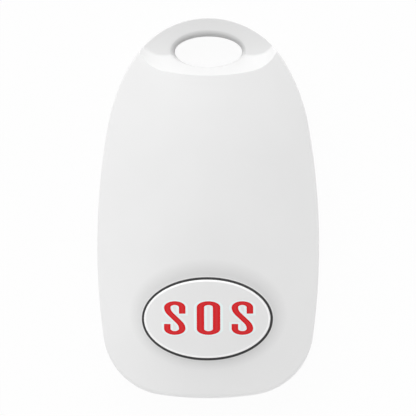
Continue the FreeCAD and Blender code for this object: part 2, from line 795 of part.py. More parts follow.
# seal on the lip
seal_outer = slab(
    "seal_outer", "wall - lip_width", seal_low, seal_high,
    f"({cavity_top} + lip_width)", "cavity_corner_radius + lip_width",
)
seal_inner = slab(
    "seal_inner", "wall", "part_height", f"({seal_high} + wall)", cavity_top, "cavity_corner_radius"
)
case_seal = combine("Part::Cut", "case_seal", seal_outer, seal_inner)

# alarm button: crowned oval cap with a skirt, a flange under the collar and a centre post
button_length = "(opening_length - 2 * button_clearance)"
button_width = "(opening_width - 2 * button_clearance)"
button_form = new_body("button_form")
cap = new_sketch(button_form, "button_cap", flange_bottom)
draw_ellipse(cap, button_length, button_width, button_y)
pad(button_form, cap, f"{case_top} + 2 * button_rise - {flange_bottom}")
crown(button_form, "button_crown", "button_rise")
fillet(button_form, "button_edge", crown_edges(button_form.Shape), "button_edge_radius")
flange = new_sketch(button_form, "button_flange", flange_bottom)
draw_ellipse(flange, flange_length, flange_width, button_y)
pad(button_form, flange, "flange_thickness")

button_core = new_body("button_core")
hollow = new_sketch(button_core, "button_hollow", board_bottom)
draw_ellipse(
    hollow, f"{button_length} - 2 * button_skirt", f"{button_width} - 2 * button_skirt", button_y
)
pad(button_core, hollow, f"{case_top} + 2 * button_rise - {board_bottom}")
crown(button_core, "button_core_crown", "button_rise - button_top")
post = new_sketch(button_core, "button_post", f"({switch_top} + touch_play)")
draw_circle(post, "button_post_width", "0", button_y)
pocket(button_core, post, case_top, upward=True)
ribs = new_sketch(button_core, "button_ribs", f"({button_roof} - button_post_height / 2)")
draw_cross(ribs, button_length, button_width, "button_rib", button_y)
pocket(button_core, ribs, case_top, upward=True)
alarm_button = combine("Part::Cut", "alarm_button", button_form, button_core)

# soft band in the opening round the button, sunk a little below the case
button_seal = new_body("button_seal")
band = new_sketch(button_seal, "seal_band", collar_bottom)
draw_ellipse(band, "opening_length", "opening_width", button_y)
pad(button_seal, band, f"{case_top} + button_rise - {collar_bottom}")
crown(button_seal, "seal_crown", "-button_seal_recess")
bore = new_sketch(button_seal, "seal_bore", case_top)
seal_grip = "2 * button_clearance - 2 * button_seal_play"
draw_ellipse(bore, f"opening_length - ({seal_grip})", f"opening_width - ({seal_grip})", button_y)
pocket(button_seal, bore, case_top)

# circuit board, notched round the bosses of the case
circuit_board = slab(
    "circuit_board", "board_edge", board_bottom, board_top, board_end, "cavity_corner_radius"
)
notches = new_sketch(circuit_board, "board_notches", board_top)
draw_pairs(notches, "boss_width + 2 * board_play", [low_screw, high_screw])
draw_pairs(notches, "screw_hole", [board_screw])
pocket(circuit_board, notches, "2 * board_thickness")

# push switch: moulded base with a round well, snap dome, plunger, metal cover and four leads
switch_base = new_body("switch_base")
block = new_sketch(switch_base, "switch_block")
half_switch = "(switch_width / 2)"
draw_rectangle(block, f"-{half_switch}", half_switch, f"-{half_switch}", half_switch)
pad(switch_base, block, "switch_base_height")
well = new_sketch(switch_base, "switch_well", "switch_base_height")
draw_circle(well, "switch_well_width")
pocket(switch_base, well, "switch_base_height - switch_well_floor")
place(switch_base, "0", button_y, board_top)

switch_cover = new_body("switch_cover")
plate = new_sketch(switch_cover, "cover_plate", "switch_base_height")
draw_rectangle(plate, f"-{half_switch}", half_switch, f"-{half_switch}", half_switch)
pad(switch_cover, plate, "switch_cover_thickness")
hole = new_sketch(switch_cover, "cover_hole", "switch_base_height + switch_cover_thickness")
draw_circle(hole, "plunger_width + 2 * plunger_play")
pocket(switch_cover, hole, "2 * switch_cover_thickness")
tabs = new_sketch(switch_cover, "cover_tabs", "switch_base_height / 3")
for low, high in ((f"-{half_switch} - switch_cover_thickness", f"-{half_switch}"),
                  (half_switch, f"{half_switch} + switch_cover_thickness")):
    draw_rectangle(tabs, "-switch_width / 4", "switch_width / 4", low, high)
pad(switch_cover, tabs, "2 * switch_base_height / 3 + switch_cover_thickness")
place(switch_cover, "0", button_y, board_top)

# the dome is a shallow cap of a thin ball standing on the floor of the well
switch_dome = new_body("switch_dome")
profile = new_sketch(switch_dome, "dome_profile", "0", "XZ_Plane")
draw_dome(profile)
revolve(switch_dome, profile)
place(switch_dome, "0", button_y, f"({board_top} + switch_well_floor)")

switch_plunger = new_body("switch_plunger")
profile = new_sketch(switch_plunger, "plunger_profile", "0", "XZ_Plane")
flange_high = "(switch_base_height - plunger_play)"
flange_low = "(switch_base_height - plunger_play - plunger_flange_thickness)"
nub_low = "(switch_well_floor + dome_rise)"
draw_polygon(profile, [
    ("0", nub_low),
    ("plunger_width / 4", nub_low),
    ("plunger_width / 4", flange_low),
    ("plunger_flange_width / 2", flange_low),
    ("plunger_flange_width / 2", flange_high),
    ("plunger_width / 2", flange_high),
    ("plunger_width / 2", "plunger_height"),
    ("0", "plunger_height"),
])
revolve(switch_plunger, profile)
place(switch_plunger, "0", button_y, board_top)

switch_leads = new_body("switch_terminals")
switch_leads.AllowCompound = True
for side in (1, -1):
    for row in (1, -1):
        lead = new_sketch(switch_leads, "switch_lead", f"({row} * lead_spacing / 2)", "XZ_Plane")
        draw_lead(lead, side, half_switch, "switch_well_floor", "lead_reach")
        pad(switch_leads, lead, "lead_width").Midplane = True
place(switch_leads, "0", button_y, board_top)

# parts soldered on the front of the board
encoder_chip = soldered_block("encoder_chip", "0", chip_y, "chip_length", "chip_width", "chip_height")
for side in (1, -1):
    for number in (-1.5, -0.5, 0.5, 1.5):
        lead = new_sketch(encoder_chip, "chip_lead", f"{number} * chip_lead_pitch", "YZ_Plane")
        draw_lead(lead, side, "chip_width / 2", "chip_height / 2", "lead_reach")
        pad(encoder_chip, lead, "chip_lead_width").Midplane = True

radio_transistor = soldered_block(
    "radio_transistor", "transistor_x", f"({board_end} - transistor_from_board_top)",
    "transistor_length", "transistor_width", "transistor_height",
)
for side, number in ((1, 0), (-1, 1), (-1, -1)):
    lead = new_sketch(radio_transistor, "transistor_lead", f"{number} * transistor_length / 3", "YZ_Plane")
    draw_lead(lead, side, "transistor_width / 2", "transistor_height / 2", "lead_reach / 2")
    pad(radio_transistor, lead, "chip_lead_width").Midplane = True

saw_resonator = soldered_block(
    "saw_resonator", "resonator_x", f"({board_end} - resonator_from_board_top)",
    "resonator_length", "resonator_width", "2 * resonator_height / 3",
)
lid = new_sketch(saw_resonator, "resonator_lid", "2 * resonator_height / 3")
lid_x, lid_y = "(resonator_length / 2 - resonator_rim)", "(resonator_width / 2 - resonator_rim)"
draw_rectangle(lid, f"-{lid_x}", lid_x, f"-{lid_y}", lid_y)
pad(saw_resonator, lid, "resonator_height / 3")

light_y = f"({button_y} + light_from_button)"
status_light = soldered_block(
    "status_light", "0", light_y,
    "light_length", "light_width", "light_height / 2",
)
lens = new_sketch(status_light, "light_lens", "light_height / 2")
draw_rectangle(lens, "-light_length / 3", "light_length / 3", "-light_width / 2", "light_width / 2")
pad(status_light, lens, "light_height / 2")

column = "passive_column"
row = f"({chip_y} - passive_from_chip)"
chip_capacitors = passives("chip_capacitors", "capacitor_height", [
    (f"-{column}", f"{row}"), (f"-{column}", f"{row} + passive_pitch"),
    (f"-{column}", f"{row} + 2 * passive_pitch"), (column, f"{row} + passive_pitch"),
    (column, f"{row} + 2 * passive_pitch"),
])
chip_resistors = passives("chip_resistors", "resistor_height", [
    (column, f"{row}"), (f"-{column}", f"{row} - passive_pitch"), (column, f"{row} - passive_pitch"),
    ("(light_length / 2 + passive_length)", light_y),
])

# coin cell under the board, between a contact pad and a clip
cell_top = f"({board_bottom} - pad_thickness)"
battery_pad = new_body("battery_pad")
disc = new_sketch(battery_pad, "pad_disc", cell_top)
draw_circle(disc, "pad_width", "0", cell_y)
draw_circle(disc, "pad_width / 4", "0", cell_y)
pad(battery_pad, disc, "pad_thickness")

coin_cell = new_body("coin_cell")
profile = new_sketch(coin_cell, "cell_profile", "0", "XZ_Plane")
draw_polygon(profile, [
    ("0", "-cell_thickness"),
    ("cell_width / 2 - cell_cap_height", "-cell_thickness"),
    ("cell_width / 2", "cell_cap_height - cell_thickness"),
    ("cell_width / 2", "-cell_cap_height"),
    ("cell_cap_width / 2", "-cell_cap_height"),
    ("cell_cap_width / 2", "0"),
    ("0", "0"),
])
revolve(coin_cell, profile)
place(coin_cell, "0", cell_y, cell_top)

battery_clip = new_body("battery_clip")
clip_low = f"({cell_top} - cell_thickness - clip_thickness)"
inner = "(cell_width / 2 + cell_play)"
outer = "(cell_width / 2 + cell_play + clip_thickness)"
foot = "(cell_width / 2 + cell_play + clip_thickness + clip_foot)"
profile = new_sketch(battery_clip, "clip_profile", f"-{cell_y}", "XZ_Plane")
foot_low = f"({board_bottom} - clip_thickness)"
half_clip = [
    (outer, clip_low), (outer, foot_low), (foot, foot_low),
    (foot, board_bottom), (inner, board_bottom), (inner, f"{clip_low} + clip_thickness"),
]
draw_polygon(profile, half_clip + [(f"-{x}", y) for x, y in reversed(half_clip)])
pad(battery_clip, profile, "clip_width").Midplane = True
window = new_sketch(battery_clip, "clip_window", board_bottom)
draw_circle(window, "clip_width / 2", "0", cell_y)
pocket(battery_clip, window, board_bottom)

case_screws = screws("case_screws", [low_screw, high_screw], "screw_head_sink", "case_screw_length")
board_screws = screws("board_screws", [board_screw], board_bottom, "board_screw_length")

# antenna: a coil of wire along X under the narrow end of the board, with two short legs
coil_radius = "(coil_width - coil_wire) / 2"
coil_z = f"({board_bottom} - coil_below_board - coil_width / 2)"
helix = doc.addObject("Part::Helix", "coil_helix")
helix.setExpression("Radius", linked(coil_radius))
helix.setExpression("Pitch", linked("coil_pitch"))
helix.setExpression("Height", linked("coil_length"))
wire = doc.addObject("Part::Circle", "coil_section")
wire.setExpression("Radius", linked("coil_wire / 2"))
wire.setExpression("Placement.Base.x", linked(coil_radius))
wire.Placement.Rotation = FreeCAD.Rotation(FreeCAD.Vector(1, 0, 0), 90)
coil_sweep = doc.addObject("Part::Sweep", "coil_sweep")
coil_sweep.Sections = [wire]
coil_sweep.Spine = (helix, ["Edge1"])
coil_sweep.Solid = True
coil_sweep.Frenet = True
coil_sweep.Placement.Rotation = FreeCAD.Rotation(FreeCAD.Vector(0, 1, 0), -90)
place(coil_sweep, "coil_length / 2", coil_y, coil_z)
legs = []
for side in ("", "-"):
    leg = doc.addObject("Part::Cylinder", "coil_leg")
    leg.setExpression("Radius", linked("coil_wire / 2"))
    leg.setExpression("Height", linked("coil_below_board + coil_wire / 2"))
    place(leg, f"{side}coil_length / 2", coil_y, f"{coil_z} + {coil_radius}")
    legs.append(leg)
antenna_coil = doc.addObject("Part::MultiFuse", "antenna_coil")
antenna_coil.Label = "antenna_coil"
antenna_coil.Shapes = [coil_sweep] + legs
doc.recompute()

nodes = [
    front_shell, rear_shell, case_seal, alarm_button, button_seal, circuit_board,
    switch_base, switch_cover, switch_dome, switch_plunger, switch_leads,
    encoder_chip, radio_transistor, saw_resonator, status_light, chip_capacitors, chip_resistors,
    battery_pad, coin_cell, battery_clip, case_screws, board_screws, antenna_coil,
]
doc.recompute()
for item in doc.Objects:
    if "Invalid" in item.State or "Error" in item.State:
        raise RuntimeError(f"{item.Label} failed: {item.State}")
for node in nodes:
    if node.Shape.isNull() or not node.Shape.isValid():
        raise RuntimeError(f"{node.Label} has no valid shape")

os.makedirs("parts", exist_ok=True)
for node in nodes:
    node.Shape.exportStep(f"parts/{node.Label}.step")
    print(f"{node.Label}: {len(node.Shape.Solids)} solids, {node.Shape.Volume:.1f} mm3")
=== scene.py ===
import json
import math

import bmesh
import bpy
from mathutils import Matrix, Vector


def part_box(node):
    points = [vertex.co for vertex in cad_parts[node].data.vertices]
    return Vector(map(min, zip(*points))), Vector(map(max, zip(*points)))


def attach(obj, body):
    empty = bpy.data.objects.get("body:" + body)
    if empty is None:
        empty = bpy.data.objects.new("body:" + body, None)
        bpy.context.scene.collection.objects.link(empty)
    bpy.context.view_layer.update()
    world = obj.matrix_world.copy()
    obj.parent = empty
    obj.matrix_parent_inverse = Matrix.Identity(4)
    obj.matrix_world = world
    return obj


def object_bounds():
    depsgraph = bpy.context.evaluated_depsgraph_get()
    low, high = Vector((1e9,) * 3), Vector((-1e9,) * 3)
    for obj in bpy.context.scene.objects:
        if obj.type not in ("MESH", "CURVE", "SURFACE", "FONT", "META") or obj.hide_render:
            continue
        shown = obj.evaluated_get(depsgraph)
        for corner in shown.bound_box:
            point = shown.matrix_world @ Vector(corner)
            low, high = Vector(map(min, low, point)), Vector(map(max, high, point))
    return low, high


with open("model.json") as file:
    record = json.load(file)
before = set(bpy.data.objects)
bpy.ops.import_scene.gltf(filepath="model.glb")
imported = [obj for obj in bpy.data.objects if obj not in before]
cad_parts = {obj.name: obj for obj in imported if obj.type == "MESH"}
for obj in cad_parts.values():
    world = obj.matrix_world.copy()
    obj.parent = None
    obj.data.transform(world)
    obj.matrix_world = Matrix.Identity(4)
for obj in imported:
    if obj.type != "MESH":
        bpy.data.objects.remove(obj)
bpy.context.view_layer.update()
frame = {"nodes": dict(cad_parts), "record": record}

mm = 0.001
print("frame loaded:", len(frame["nodes"]), "nodes")


# small helpers for modelling as by hand

def deselectAll():
    if bpy.context.object and bpy.context.object.mode != "OBJECT":
        bpy.ops.object.mode_set(mode="OBJECT")
    bpy.ops.object.select_all(action="DESELECT")


def makeActive(obj):
    deselectAll()
    obj.select_set(True)
    bpy.context.view_layer.objects.active = obj


def selectVerts(obj, wanted):
    bpy.ops.mesh.select_all(action="DESELECT")
    mesh = bmesh.from_edit_mesh(obj.data)
    for vert in mesh.verts:
        if wanted(vert):
            vert.select = True
    mesh.select_flush(True)
    bmesh.update_edit_mesh(obj.data)


def centreOf(node):
    low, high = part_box(node)
    return (Vector(low) + Vector(high)) / 2


def grey(tone):
    return (tone, tone, tone)


# small helpers for materials

def newMaterial(name):
    mat = bpy.data.materials.new(name)
    mat.use_nodes = True
    nodes = mat.node_tree.nodes
    return mat, nodes, mat.node_tree.links, nodes["Principled BSDF"]


def addCoords(nodes, links, scale=(1, 1, 1), turn=(0, 0, 0), shift=(0, 0, 0)):
    coords = nodes.new("ShaderNodeTexCoord")
    mapping = nodes.new("ShaderNodeMapping")
    mapping.inputs["Scale"].default_value = scale
    mapping.inputs["Rotation"].default_value = turn
    mapping.inputs["Location"].default_value = shift
    links.new(coords.outputs["Object"], mapping.inputs["Vector"])
    return mapping.outputs["Vector"]


def addAxis(nodes, links, axis, source="Object"):
    coords = nodes.new("ShaderNodeTexCoord")
    split = nodes.new("ShaderNodeSeparateXYZ")
    links.new(coords.outputs[source], split.inputs["Vector"])
    return split.outputs[axis]


def addNoise(nodes, links, vector, scale, detail=3.0, roughness=0.5):
    noise = nodes.new("ShaderNodeTexNoise")
    noise.inputs["Scale"].default_value = scale
    noise.inputs["Detail"].default_value = detail
    noise.inputs["Roughness"].default_value = roughness
    links.new(vector, noise.inputs["Vector"])
    return noise.outputs["Fac"]


# between two colours, over the part of its range that a noise really uses
def addRamp(nodes, links, factor, low, high, start=0.3, end=0.7):
    ramp = nodes.new("ShaderNodeValToRGB")
    for stop, place, colour in zip(ramp.color_ramp.elements, (start, end), (low, high)):
        stop.position = place
        stop.color = (*colour, 1)
    links.new(factor, ramp.inputs["Fac"])
    return ramp.outputs["Color"]


# from low to high while the factor runs from start to end, and level beyond them
def addRange(nodes, links, factor, low=0.0, high=1.0, start=0.0, end=1.0):
    mapRange = nodes.new("ShaderNodeMapRange")
    mapRange.inputs["From Min"].default_value = start
    mapRange.inputs["From Max"].default_value = end
    mapRange.inputs["To Min"].default_value = low
    mapRange.inputs["To Max"].default_value = high
    links.new(factor, mapRange.inputs["Value"])
    return mapRange.outputs["Result"]


def addBump(nodes, links, shader, height, strength, depth):
    bump = nodes.new("ShaderNodeBump")
    bump.inputs["Strength"].default_value = strength
    bump.inputs["Distance"].default_value = depth * mm
    links.new(height, bump.inputs["Height"])
    links.new(bump.outputs["Normal"], shader.inputs["Normal"])


# a plain colour laid over another one, as strong as the factor says
def addTint(nodes, links, factor, under, tint):
    mix = nodes.new("ShaderNodeMix")
    mix.data_type = "RGBA"
    links.new(factor, mix.inputs["Factor"])
    links.new(under, mix.inputs["A"])
    mix.inputs["B"].default_value = (*tint, 1)
    return mix.outputs["Result"]


def addMath(nodes, links, operation, *items):
    node = nodes.new("ShaderNodeMath")
    node.operation = operation
    for socket, item in zip(node.inputs, items):
        if isinstance(item, (int, float)):
            socket.default_value = item
        else:
            links.new(item, socket)
    return node.outputs["Value"]


def addShaderMix(nodes, links, factor, first, second):
    mix = nodes.new("ShaderNodeMixShader")
    links.new(factor, mix.inputs["Fac"])
    links.new(first, mix.inputs[1])
    links.new(second, mix.inputs[2])
    return mix.outputs["Shader"]


def addPath(nodes, output):
    return nodes.new("ShaderNodeLightPath").outputs[output]


# 1 for what the camera sees, also mirrored or through glass, and 0 for light that falls on things
def addSeenDirectly(nodes, links):
    seen = addPath(nodes, "Is Camera Ray")
    for output in ("Is Glossy Ray", "Is Transmission Ray"):
        seen = addMath(nodes, links, "MAXIMUM", seen, addPath(nodes, output))
    return seen


# distance outwards from an upright oval in the XY plane, good near its line
def addOvalDistance(nodes, links, centre, halfLength, halfWidth):
    lengths = []
    for power in (1, 2):
        scale = (1 / halfLength**power, 1 / halfWidth**power, 0)
        shift = (-centre.x * scale[0], -centre.y * scale[1], 0)
        vector = addCoords(nodes, links, scale=scale, shift=shift)
        length = nodes.new("ShaderNodeVectorMath")
        length.operation = "LENGTH"
        links.new(vector, length.inputs[0])
        lengths.append(length.outputs["Value"])
    square = addMath(nodes, links, "MULTIPLY", lengths[0], lengths[0])
    outside = addMath(nodes, links, "SUBTRACT", square, 1)
    slope = addMath(nodes, links, "MULTIPLY", lengths[1], 2)
    return addMath(nodes, links, "DIVIDE", outside, slope)


# 1 within a band of that distance, with soft sides, and 0 elsewhere, all in mm
def addBand(nodes, links, distance, low, high, soft):
    low, high, soft = low * mm, high * mm, soft * mm
    sides = [
        addRange(nodes, links, distance, start=start, end=end)
        for start, end in ((low - soft, low + soft), (high + soft, high - soft))
    ]
    return addMath(nodes, links, "MULTIPLY", *sides)


# 1 past the second of two places on an axis, 0 before the first, with a soft change between
def addBeyond(nodes, links, axis, start, end):
    return addRange(nodes, links, addAxis(nodes, links, axis), start=start, end=end)


# finishes

mouldedPlastic = {
    "cloud": 90, "cloudDetail": 2, "grainDetail": 4, "grainRoughness": 0.6,
    "depth": 0.02, "ior": 1.47,
}


# a satin moulded surface: a faint cloud in the colour, a fine spark-eroded grain in the relief,
# oval bands of painted shade and painted highlight, and a painted shadow line where two halves meet
def makePlastic(name, low, high, grain, roughness, relief, bands=(), seam=None):
    mat, nodes, links, shader = newMaterial(name)
    vector = addCoords(nodes, links)
    cloud = addNoise(nodes, links, vector, mouldedPlastic["cloud"], mouldedPlastic["cloudDetail"])
    fine = addNoise(
        nodes, links, vector, grain, mouldedPlastic["grainDetail"], mouldedPlastic["grainRoughness"]
    )
    colour = addRamp(nodes, links, cloud, low, high)
    # oval bands of painted shade and painted highlight laid over the colour
    for band in bands:
        distance = addOvalDistance(nodes, links, *band["oval"])
        share = addBand(nodes, links, distance, band["low"], band["high"], band["soft"])
        for axis, *places in band.get("beyond", ()):
            share = addMath(nodes, links, "MULTIPLY", share, addBeyond(nodes, links, axis, *places))
        colour = addTint(nodes, links, share, colour, grey(band["tone"]))
    # a painted shadow line along the join of the two halves
    if seam:
        above = addMath(nodes, links, "SUBTRACT", addAxis(nodes, links, "Z"), seam["height"])
        share = addBand(nodes, links, above, -seam["half"], seam["half"], seam["soft"])
        colour = addTint(nodes, links, share, colour, grey(seam["tone"]))
    links.new(colour, shader.inputs["Base Color"])
    links.new(addRange(nodes, links, fine, *roughness), shader.inputs["Roughness"])
    addBump(nodes, links, shader, fine, relief, mouldedPlastic["depth"])
    shader.inputs["IOR"].default_value = mouldedPlastic["ior"]
    return mat


softRubber = {
    "grain": 2600, "grainDetail": 3, "grainRoughness": 0.6,
    "roughness": (0.6, 0.8), "relief": 0.3, "depth": 0.02, "ior": 1.5,
}


def makeRubber(name, low, high):
    mat, nodes, links, shader = newMaterial(name)
    fine = addNoise(
        nodes, links, addCoords(nodes, links),
        softRubber["grain"], softRubber["grainDetail"], softRubber["grainRoughness"],
    )
    links.new(addRamp(nodes, links, fine, low, high), shader.inputs["Base Color"])
    links.new(addRange(nodes, links, fine, *softRubber["roughness"]), shader.inputs["Roughness"])
    addBump(nodes, links, shader, fine, softRubber["relief"], softRubber["depth"])
    shader.inputs["IOR"].default_value = softRubber["ior"]
    return mat


rolledMetal = {
    "marks": 1500, "marksDetail": 5, "marksRoughness": 0.65, "relief": 0.2, "depth": 0.01,
}


# rolled or drawn metal, with its marks drawn out by the stretch, and painted shade in its recesses
def makeMetal(name, low, high, roughness, stretch, recessShade=None):
    mat, nodes, links, shader = newMaterial(name)
    marks = addNoise(
        nodes, links, addCoords(nodes, links, stretch),
        rolledMetal["marks"], rolledMetal["marksDetail"], rolledMetal["marksRoughness"],
    )
    colour = addRamp(nodes, links, marks, low, high)
    if recessShade:
        # painted shade deep in the recess
        deep = addBeyond(nodes, links, "Z", *recessShade["places"])
        colour = addTint(nodes, links, deep, colour, grey(recessShade["tone"]))
    links.new(colour, shader.inputs["Base Color"])
    links.new(addRange(nodes, links, marks, *roughness), shader.inputs["Roughness"])
    addBump(nodes, links, shader, marks, rolledMetal["relief"], rolledMetal["depth"])
    shader.inputs["Metallic"].default_value = 1.0
    return mat


glassCloth = {
    "turn": 45, "weave": 2400, "weaveShare": 0.18, "cloud": 300,
    "roughness": (0.28, 0.4), "relief": 0.1, "depth": 0.01,
}


# green solder mask over woven glass, with the weave showing faintly through it
def makeLaminate(name, dark, light):
    mat, nodes, links, shader = newMaterial(name)
    vector = addCoords(nodes, links, turn=(0, 0, math.radians(glassCloth["turn"])))
    weave = nodes.new("ShaderNodeTexChecker")
    weave.inputs["Scale"].default_value = glassCloth["weave"]
    links.new(vector, weave.inputs["Vector"])
    cloud = addNoise(nodes, links, vector, glassCloth["cloud"])
    mix = nodes.new("ShaderNodeMix")
    mix.data_type = "RGBA"
    mix.blend_type = "MULTIPLY"
    mix.inputs["Factor"].default_value = glassCloth["weaveShare"]
    links.new(addRamp(nodes, links, cloud, dark, light), mix.inputs["A"])
    links.new(weave.outputs["Color"], mix.inputs["B"])
    links.new(mix.outputs["Result"], shader.inputs["Base Color"])
    links.new(addRange(nodes, links, cloud, *glassCloth["roughness"]), shader.inputs["Roughness"])
    addBump(nodes, links, shader, weave.outputs["Fac"], glassCloth["relief"], glassCloth["depth"])
    return mat


screenInk = {
    "grain": 6000, "grainDetail": 3, "grainRoughness": 0.6, "thinShare": 0.95,
    "relief": 0.1, "depth": 0.01,
}


# screen ink, deeper in colour along the edges of each stroke, with a paler middle that is painted
# sheen
def makeInk(name, body, edge, roughness, gloss):
    mat, nodes, links, shader = newMaterial(name)
    depth = nodes.new("ShaderNodeAttribute")
    depth.attribute_name = "edgeShare"
    grain = addNoise(
        nodes, links, addCoords(nodes, links),
        screenInk["grain"], screenInk["grainDetail"], screenInk["grainRoughness"],
    )
    thin = tuple(screenInk["thinShare"] * part for part in body)
    base = addRamp(nodes, links, grain, thin, body)
    # the middle of each stroke is paler than its edges, as painted sheen
    colour = addTint(nodes, links, depth.outputs["Fac"], base, edge)
    links.new(colour, shader.inputs["Base Color"])
    links.new(addRange(nodes, links, grain, *roughness), shader.inputs["Roughness"])
    addBump(nodes, links, shader, grain, screenInk["relief"], screenInk["depth"])
    shader.inputs["Specular IOR Level"].default_value = gloss
    return mat


# painted shade and highlight in the colour of the plastic, which a plain sky and one lamp don't
# give, in mm: the gap round the cap, how far the painted shade round the button is moved, half the
# length and width of the ovals of painted shade on the rounded edge of the eye, and the places
# between which a band comes in, from the middle of the eye or from where the halves part
shading = {
    "buttonGap": 0.37, "buttonShift": (0.1, 0.65, 0),
    "eyeEdge": (5.99, 3.45), "eyeInner": (5.68, 3.00),
    "hangingSide": (-1.2, 1.2), "outerLoop": (0.3, 6.3),
    "onFront": (0, 0.3), "onEyeEdge": (-1.0, 0.2),
}


def inMetres(name, start=0):
    return [start + size * mm for size in shading[name]]


# ovals in the plan, each as its centre and half its length and width: the outside of the soft band
# is the opening for the button, and the cap stands inside it
openingLow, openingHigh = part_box("button_seal")
buttonCentre = centreOf("button_seal")
buttonGap = shading["buttonGap"] * mm
halfLength = (openingHigh[0] - openingLow[0]) / 2
halfWidth = (openingHigh[1] - openingLow[1]) / 2
opening = (buttonCentre, halfLength, halfWidth)
capEdge = (buttonCentre, halfLength - buttonGap, halfWidth - buttonGap)
# the oval of the painted shade round the button, moved a little off the opening
buttonShadeOval = (buttonCentre + Vector(shading["buttonShift"]) * mm, halfLength, halfWidth)

# ovals of painted shade on the whole rounded edge of the eye, and on the part of it next to the
# hole
eyeMount = next(item for item in frame["record"]["mounts"] if item["name"] == "lanyard_eye")
eyeCentre = Vector(eyeMount["pos_m"])
eyeEdge = (eyeCentre, *inMetres("eyeEdge"))
eyeInner = (eyeCentre, *inMetres("eyeInner"))

# the side of the eye that the case hangs from, the loop outside it, all but the back of the case,
# and the rounded edge inside the eye
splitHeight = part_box("front_shell")[0][2]
hangingSide = ("Y", *inMetres("hangingSide", eyeCentre.y))
outerLoop = ("Y", *inMetres("outerLoop", eyeCentre.y))
onFront = ("Z", *inMetres("onFront", splitHeight))
onEyeEdge = ("Z", *inMetres("onEyeEdge", splitHeight))

# bands run from a low to a high distance outside their oval in mm, with sides as soft as they say
caseBands = (
    # painted shade round the button, on the front of the case
    {
        "oval": buttonShadeOval, "low": -2.0, "high": 1.0, "soft": 1.0, "tone": 0.70,
        "beyond": (onFront,),
    },
    # painted shade on the face of the loop, and on the rounded edge of the eye on its hanging side
    {
        "oval": eyeEdge, "low": -4.0, "high": 6.0, "soft": 1.0, "tone": 0.755,
        "beyond": (outerLoop, onFront),
    },
    {
        "oval": eyeEdge, "low": -4.0, "high": 0, "soft": 0.07, "tone": 0.75,
        "beyond": (hangingSide, onEyeEdge),
    },
    {
        "oval": eyeInner, "low": -4.0, "high": 0, "soft": 0.40, "tone": 0.53,
        "beyond": (hangingSide, onEyeEdge),
    },
    # painted highlight just outside the opening's edge, painted shade where the soft band meets it
    {"oval": opening, "low": 0.07, "high": 0.17, "soft": 0.03, "tone": 0.82, "beyond": (onFront,)},
    {"oval": opening, "low": -0.3, "high": 0.03, "soft": 0.03, "tone": 0.34, "beyond": (onFront,)},
)
# a painted highlight on the cap just inside its edge
capHighlightBands = ({"oval": capEdge, "low": -0.34, "high": -0.04, "soft": 0.03, "tone": 0.98},)
# a painted shadow line where the two halves of the case meet
caseSeamShadow = {"height": splitHeight, "half": 0.05, "soft": 0.03, "tone": 0.16}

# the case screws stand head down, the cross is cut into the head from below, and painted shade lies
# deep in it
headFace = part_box("case_screws")[0][2]
crossRecessShade = {"places": (headFace + 0.1 * mm, headFace + 0.5 * mm), "tone": 0.12}

plastics = {
    "casePlastic": {
        "low": grey(0.82), "high": grey(0.84), "grain": 5200, "roughness": (0.36, 0.46),
        "relief": 0.12, "bands": caseBands, "seam": caseSeamShadow,
    },
    "capPlastic": {
        "low": grey(0.81), "high": grey(0.83), "grain": 5200, "roughness": (0.34, 0.42),
        "relief": 0.10, "bands": capHighlightBands,
    },
    "blackResin": {
        "low": (0.016, 0.016, 0.017), "high": (0.028, 0.028, 0.029), "grain": 3000,
        "roughness": (0.5, 0.65), "relief": 0.4,
    },
    "clearResin": {
        "low": (0.82, 0.79, 0.58), "high": (0.9, 0.88, 0.7), "grain": 1800,
        "roughness": (0.12, 0.2), "relief": 0.05,
    },
    "tanCeramic": {
        "low": (0.42, 0.31, 0.19), "high": (0.52, 0.40, 0.26), "grain": 2600,
        "roughness": (0.4, 0.55), "relief": 0.3,
    },
    "blackGlaze": {
        "low": (0.03, 0.03, 0.034), "high": (0.05, 0.05, 0.055), "grain": 2200,
        "roughness": (0.2, 0.3), "relief": 0.1,
    },
}
rubbers = {
    "sealRubber": {"low": (0.20, 0.20, 0.21), "high": (0.26, 0.26, 0.27)},
    "bandRubber": {"low": (0.13, 0.13, 0.133), "high": (0.165, 0.165, 0.168)},
}
laminates = {
    "boardLaminate": {"dark": (0.02, 0.13, 0.05), "light": (0.03, 0.19, 0.075)},
}
metals = {
    "switchSteel": {
        "low": (0.62, 0.62, 0.63), "high": (0.74, 0.74, 0.75), "roughness": (0.22, 0.38),
        "stretch": (1, 12, 12),
    },
    "domeSteel": {
        "low": grey(0.68), "high": grey(0.78), "roughness": (0.15, 0.28), "stretch": (6, 6, 1),
    },
    "tinnedLead": {
        "low": (0.66, 0.66, 0.64), "high": (0.8, 0.8, 0.78), "roughness": (0.25, 0.45),
        "stretch": (4, 1, 4),
    },
    "platedLid": {
        "low": (0.60, 0.56, 0.46), "high": (0.72, 0.68, 0.56), "roughness": (0.2, 0.35),
        "stretch": (1, 10, 10),
    },
    "giltContact": {
        "low": (0.74, 0.55, 0.22), "high": (0.86, 0.66, 0.3), "roughness": (0.18, 0.3),
        "stretch": (1, 8, 8),
    },
    "cellSteel": {
        "low": grey(0.64), "high": (0.76, 0.76, 0.77), "roughness": (0.18, 0.34),
        "stretch": (1, 9, 9),
    },
    "clipSteel": {
        "low": grey(0.60), "high": grey(0.74), "roughness": (0.25, 0.4), "stretch": (9, 1, 9),
    },
    "screwZinc": {
        "low": (0.52, 0.54, 0.58), "high": (0.66, 0.68, 0.71), "roughness": (0.28, 0.46),
        "stretch": (3, 3, 3),
    },
    "headZinc": {
        "low": (0.52, 0.54, 0.58), "high": (0.66, 0.68, 0.71), "roughness": (0.28, 0.46),
        "stretch": (3, 3, 3), "recessShade": crossRecessShade,
    },
    "coilCopper": {
        "low": (0.62, 0.28, 0.12), "high": (0.76, 0.40, 0.20), "roughness": (0.2, 0.32),
        "stretch": (1, 6, 6),
    },
}
